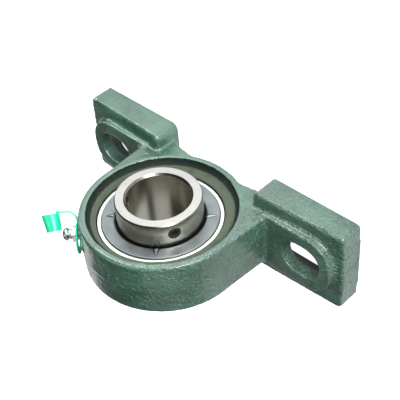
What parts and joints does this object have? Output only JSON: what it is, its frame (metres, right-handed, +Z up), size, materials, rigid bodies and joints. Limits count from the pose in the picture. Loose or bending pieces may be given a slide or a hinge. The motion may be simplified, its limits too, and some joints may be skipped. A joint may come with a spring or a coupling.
{
  "type": "pillow block bearing",
  "caption": "Foot-mounted bearing for a round shaft: an arched cast housing holds a self-aligning ball bearing insert with set screws, seals, slingers and a grease nipple with a cap.",
  "frame": {"origin": "on the base plane z = 0, below the middle of the spherical seat", "axes": "+X along the foot, towards the nipple; +Y along the shaft, away from the set screws; +Z up"},
  "size_m": [0.162, 0.0442, 0.0808],
  "materials": {
    "cast_housing": "green hammer-like paint over rough cast iron",
    "plated_steel": "bright plating",
    "ball_steel": "polished",
    "spring_steel": "drawn wire",
    "soft_cap": "soft green moulding",
    "ring_steel": "ground",
    "pressed_steel": "pressed sheet",
    "seal_rubber": "moulded",
    "slinger_steel": "blue-grey pressed sheet",
    "screw_steel": "black oxide"
  },
  "bodies": {
    "housing_body": {"housing": "cast_housing", "grease_nipple": "plated_steel", "nipple_spring": "spring_steel"},
    "outer_ring_body": {"outer_ring": "ring_steel", "seal_front": "seal_rubber", "seal_back": "seal_rubber"},
    "inner_ring_body": {"inner_ring": "ring_steel", "slinger_front": "slinger_steel", "slinger_back": "slinger_steel"},
    "cage_body": {"cage_front_half": "pressed_steel", "cage_back_half": "pressed_steel", "cage_rivets": "pressed_steel"},
    "cap_body": {"nipple_cap": "soft_cap"},
    "check_ball_body": {"nipple_check_ball": "ball_steel"},
    "set_screw_1_body": {"set_screw_1": "screw_steel"},
    "set_screw_2_body": {"set_screw_2": "screw_steel"},
    "ball_1_body": {"ball_1": "ball_steel"},
    "ball_2_body": {"ball_2": "ball_steel"},
    "ball_3_body": {"ball_3": "ball_steel"},
    "ball_4_body": {"ball_4": "ball_steel"},
    "ball_5_body": {"ball_5": "ball_steel"},
    "ball_6_body": {"ball_6": "ball_steel"},
    "ball_7_body": {"ball_7": "ball_steel"},
    "ball_8_body": {"ball_8": "ball_steel"},
    "ball_9_body": {"ball_9": "ball_steel"}
  },
  "joints": [
    {"name": "insert_tilt", "type": "hinge", "parent": "housing_body", "child": "outer_ring_body", "pos_m": [0, 0, 0.0429], "axis": [1, 0, 0], "range_deg": [-2, 2]},
    {"name": "shaft_spin", "type": "hinge", "parent": "outer_ring_body", "child": "inner_ring_body", "pos_m": [0, 0, 0.0429], "axis": [0, 1, 0], "continuous": true},
    {"name": "cage_spin", "type": "hinge", "parent": "outer_ring_body", "child": "cage_body", "pos_m": [0, 0, 0.0429], "axis": [0, 1, 0], "continuous": true},
    {"name": "cap_swing", "type": "hinge", "parent": "housing_body", "child": "cap_body", "pos_m": [0, -0.002, 0.0429], "axis": [0.7071, 0, 0.7071], "continuous": true},
    {"name": "check_ball_lift", "type": "slide", "parent": "housing_body", "child": "check_ball_body", "axis": [-0.7071, 0, -0.7071], "range_m": [0, 0.0007], "stiffness_N_per_m": 150, "springref_m": -0.0006, "deforming": ["nipple_spring"]},
    {"name": "set_screw_1_travel", "type": "slide", "parent": "inner_ring_body", "child": "set_screw_1_body", "axis": [-0.9063, 0, 0.4226], "range_m": [-0.0002, 0.0045]},
    {"name": "set_screw_2_travel", "type": "slide", "parent": "inner_ring_body", "child": "set_screw_2_body", "axis": [0.8192, 0, 0.5736], "range_m": [-0.0002, 0.0045]},
    {"name": "ball_1_spin", "type": "hinge", "parent": "cage_body", "child": "ball_1_body", "pos_m": [0.023, 0, 0.0429], "axis": [0, 1, 0], "continuous": true},
    {"name": "ball_2_spin", "type": "hinge", "parent": "cage_body", "child": "ball_2_body", "pos_m": [0.01762, 0, 0.05768], "axis": [0, 1, 0], "continuous": true},
    {"name": "ball_3_spin", "type": "hinge", "parent": "cage_body", "child": "ball_3_body", "pos_m": [0.00399, 0, 0.06555], "axis": [0, 1, 0], "continuous": true},
    {"name": "ball_4_spin", "type": "hinge", "parent": "cage_body", "child": "ball_4_body", "pos_m": [-0.0115, 0, 0.06282], "axis": [0, 1, 0], "continuous": true},
    {"name": "ball_5_spin", "type": "hinge", "parent": "cage_body", "child": "ball_5_body", "pos_m": [-0.02161, 0, 0.05077], "axis": [0, 1, 0], "continuous": true},
    {"name": "ball_6_spin", "type": "hinge", "parent": "cage_body", "child": "ball_6_body", "pos_m": [-0.02161, 0, 0.03503], "axis": [0, 1, 0], "continuous": true},
    {"name": "ball_7_spin", "type": "hinge", "parent": "cage_body", "child": "ball_7_body", "pos_m": [-0.0115, 0, 0.02298], "axis": [0, 1, 0], "continuous": true},
    {"name": "ball_8_spin", "type": "hinge", "parent": "cage_body", "child": "ball_8_body", "pos_m": [0.00399, 0, 0.02025], "axis": [0, 1, 0], "continuous": true},
    {"name": "ball_9_spin", "type": "hinge", "parent": "cage_body", "child": "ball_9_body", "pos_m": [0.01762, 0, 0.02812], "axis": [0, 1, 0], "continuous": true}
  ],
  "couplings": [
    {"joint": "cage_spin", "follows": "shaft_spin", "ratio": 0.39647},
    {"joint": "ball_1_spin", "follows": "shaft_spin", "ratio": -2.3112},
    {"joint": "ball_2_spin", "follows": "shaft_spin", "ratio": -2.3112},
    {"joint": "ball_3_spin", "follows": "shaft_spin", "ratio": -2.3112},
    {"joint": "ball_4_spin", "follows": "shaft_spin", "ratio": -2.3112},
    {"joint": "ball_5_spin", "follows": "shaft_spin", "ratio": -2.3112},
    {"joint": "ball_6_spin", "follows": "shaft_spin", "ratio": -2.3112},
    {"joint": "ball_7_spin", "follows": "shaft_spin", "ratio": -2.3112},
    {"joint": "ball_8_spin", "follows": "shaft_spin", "ratio": -2.3112},
    {"joint": "ball_9_spin", "follows": "shaft_spin", "ratio": -2.3112}
  ]
}
